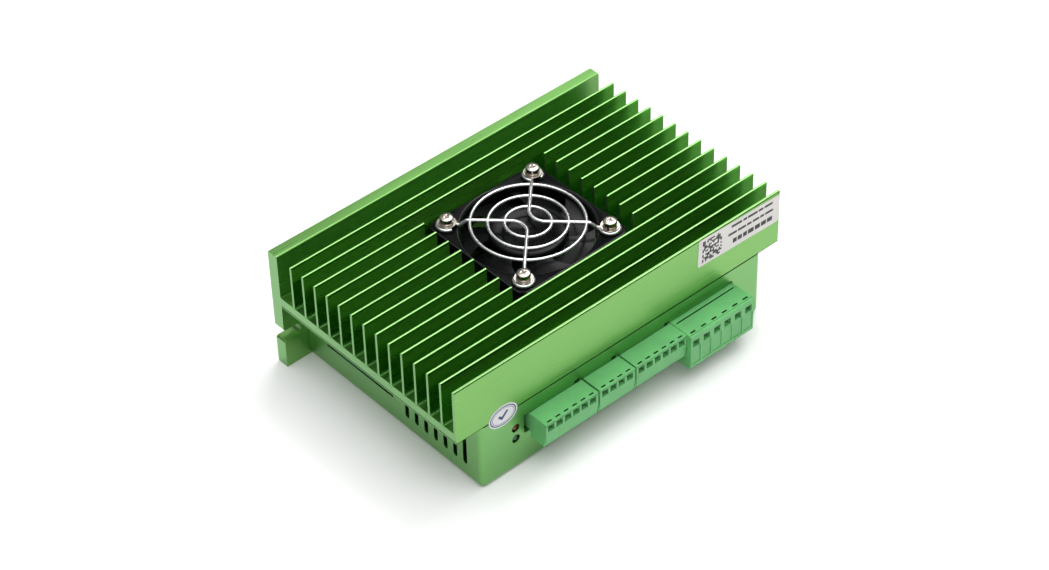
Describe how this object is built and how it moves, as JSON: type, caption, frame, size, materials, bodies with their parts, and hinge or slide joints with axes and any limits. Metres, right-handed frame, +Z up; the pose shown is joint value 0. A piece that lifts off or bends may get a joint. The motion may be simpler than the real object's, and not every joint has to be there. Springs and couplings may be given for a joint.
{
  "type": "stepper driver module",
  "caption": "Stepper motor driver in a finned aluminium case with a sunk cooling fan, wire guard, pluggable screw terminals, vents and an end switch window.",
  "frame": {"origin": "on the floor plane, under the middle of the bounding box, with the module standing on its bottom cover", "axes": "+Z up through the fin tips, +Y along the fins from the switch-window end, +X out of the terminal side; the thick mounting wall faces -X"},
  "size_m": [0.108, 0.15, 0.051],
  "materials": {
    "heatsink_anodised": "green anodised extrusion, satin",
    "cover_anodised": "green anodised sheet, satin",
    "terminal_plastic": "moulded green polyamide",
    "nickel": "nickel plated, bright",
    "guard_wire": "bright chrome plated wire",
    "zinc": "zinc plated",
    "brass": "tinned brass",
    "fan_black": "black moulded, satin",
    "bearing_bronze": "sintered bronze",
    "shaft_steel": "ground",
    "magnet_black": "bonded ferrite",
    "stator_copper": "enamelled copper on steel",
    "board_laminate": "green solder mask",
    "package_black": "epoxy package",
    "silicone_pad": "grey silicone",
    "bar_aluminium": "mill finish",
    "capacitor_sleeve": "dark sleeve",
    "ferrite": "matt grey",
    "opto_white": "white epoxy",
    "resistor_dark": "dark ceramic",
    "connector_white": "natural nylon",
    "connector_black": "black nylon",
    "lamp_red": "tinted lens, unlit",
    "lamp_green": "tinted lens, unlit",
    "switch_body": "blue moulded",
    "switch_white": "white moulded",
    "sticker_white": "printed paper label",
    "sticker_round": "printed paper sticker"
  },
  "bodies": {
    "housing": {"heatsink": "heatsink_anodised", "bottom_cover": "cover_anodised", "cover_screws": "zinc", "lower_standoffs": "nickel", "upper_standoffs": "nickel", "circuit_board": "board_laminate", "mosfets": "package_black", "mosfet_pads": "silicone_pad", "clamp_bar": "bar_aluminium", "clamp_bar_screws": "zinc", "capacitors": "capacitor_sleeve", "bridge_rectifier": "package_black", "inductor": "ferrite", "board_chips": "package_black", "optocouplers": "opto_white", "shunt_resistors": "resistor_dark", "fan_header": "connector_white", "led_holder": "connector_black", "alarm_led": "lamp_red", "power_led": "lamp_green", "header_signal": "terminal_plastic", "header_alarm": "terminal_plastic", "header_encoder": "terminal_plastic", "header_power": "terminal_plastic", "header_pins": "brass", "dip_switch_body": "switch_body", "comm_socket": "connector_black", "fan_frame": "fan_black", "fan_bearing": "bearing_bronze", "fan_stator": "stator_copper", "finger_guard": "guard_wire", "fan_screws": "nickel", "fan_flat_washers": "nickel", "fan_spring_washers": "nickel", "fan_spacers": "fan_black", "model_label": "sticker_white", "qc_sticker": "sticker_round"},
    "fan_impeller": {"fan_rotor": "fan_black", "fan_shaft": "shaft_steel", "fan_magnet": "magnet_black"},
    "signal_plug": {"plug_signal": "terminal_plastic", "plug_signal_screws": "zinc", "plug_signal_clamps": "brass"},
    "alarm_plug": {"plug_alarm": "terminal_plastic", "plug_alarm_screws": "zinc", "plug_alarm_clamps": "brass"},
    "encoder_plug": {"plug_encoder": "terminal_plastic", "plug_encoder_screws": "zinc", "plug_encoder_clamps": "brass"},
    "power_plug": {"plug_power": "terminal_plastic", "plug_power_screws": "zinc", "plug_power_clamps": "brass"},
    "switch_1": {"dip_slider_1": "switch_white"},
    "switch_2": {"dip_slider_2": "switch_white"},
    "switch_3": {"dip_slider_3": "switch_white"},
    "switch_4": {"dip_slider_4": "switch_white"},
    "switch_5": {"dip_slider_5": "switch_white"},
    "switch_6": {"dip_slider_6": "switch_white"},
    "switch_7": {"dip_slider_7": "switch_white"},
    "switch_8": {"dip_slider_8": "switch_white"}
  },
  "joints": [
    {"name": "fan_spin", "type": "hinge", "parent": "housing", "child": "fan_impeller", "pos_m": [-0.00575, 0.00135, 0.042], "axis": [0, 0, 1], "continuous": true},
    {"name": "signal_plug_pull", "type": "slide", "parent": "housing", "child": "signal_plug", "axis": [1, 0, 0], "range_m": [0, 0.008]},
    {"name": "alarm_plug_pull", "type": "slide", "parent": "housing", "child": "alarm_plug", "axis": [1, 0, 0], "range_m": [0, 0.008]},
    {"name": "encoder_plug_pull", "type": "slide", "parent": "housing", "child": "encoder_plug", "axis": [1, 0, 0], "range_m": [0, 0.008]},
    {"name": "power_plug_pull", "type": "slide", "parent": "housing", "child": "power_plug", "axis": [1, 0, 0], "range_m": [0, 0.013]},
    {"name": "switch_1_slide", "type": "slide", "parent": "housing", "child": "switch_1", "axis": [0, 0, 1], "range_m": [0, 0.0022]},
    {"name": "switch_2_slide", "type": "slide", "parent": "housing", "child": "switch_2", "axis": [0, 0, 1], "range_m": [0, 0.0022]},
    {"name": "switch_3_slide", "type": "slide", "parent": "housing", "child": "switch_3", "axis": [0, 0, 1], "range_m": [0, 0.0022]},
    {"name": "switch_4_slide", "type": "slide", "parent": "housing", "child": "switch_4", "axis": [0, 0, 1], "range_m": [0, 0.0022]},
    {"name": "switch_5_slide", "type": "slide", "parent": "housing", "child": "switch_5", "axis": [0, 0, 1], "range_m": [0, 0.0022]},
    {"name": "switch_6_slide", "type": "slide", "parent": "housing", "child": "switch_6", "axis": [0, 0, 1], "range_m": [0, 0.0022]},
    {"name": "switch_7_slide", "type": "slide", "parent": "housing", "child": "switch_7", "axis": [0, 0, 1], "range_m": [0, 0.0022]},
    {"name": "switch_8_slide", "type": "slide", "parent": "housing", "child": "switch_8", "axis": [0, 0, 1], "range_m": [0, 0.0022]}
  ]
}
